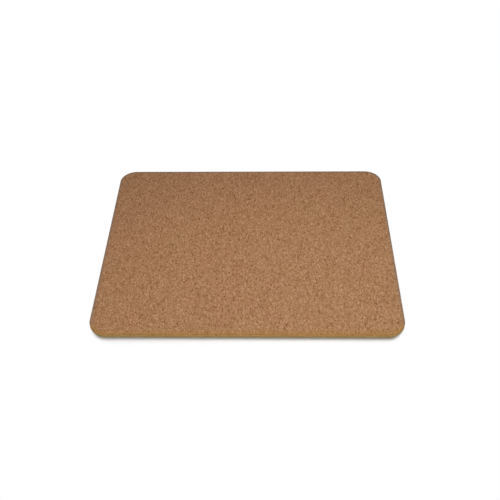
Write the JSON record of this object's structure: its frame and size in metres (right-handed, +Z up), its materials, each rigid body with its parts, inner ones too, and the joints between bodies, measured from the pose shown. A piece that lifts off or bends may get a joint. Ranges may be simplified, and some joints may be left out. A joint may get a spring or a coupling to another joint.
{
  "type": "mouse pad",
  "caption": "Flat rectangular desk mouse pad with rounded corners: a fine-grained cork sheet glued to a tan rubber base.",
  "frame": {"origin": "middle of the underside, on the surface that the pad lies on", "axes": "+X along the long edge to the user's right, +Y away from the user, +Z up out of the cork"},
  "size_m": [0.22, 0.18, 0.003],
  "materials": {
    "cork": "fine-grained agglomerated cork, sanded matte",
    "glue": "dried clear glue, pale amber",
    "rubber": "natural gum rubber sheet, tan, matte"
  },
  "bodies": {
    "root": {"cork_sheet": "cork", "adhesive_film": "glue", "rubber_base": "rubber"}
  },
  "joints": []
}
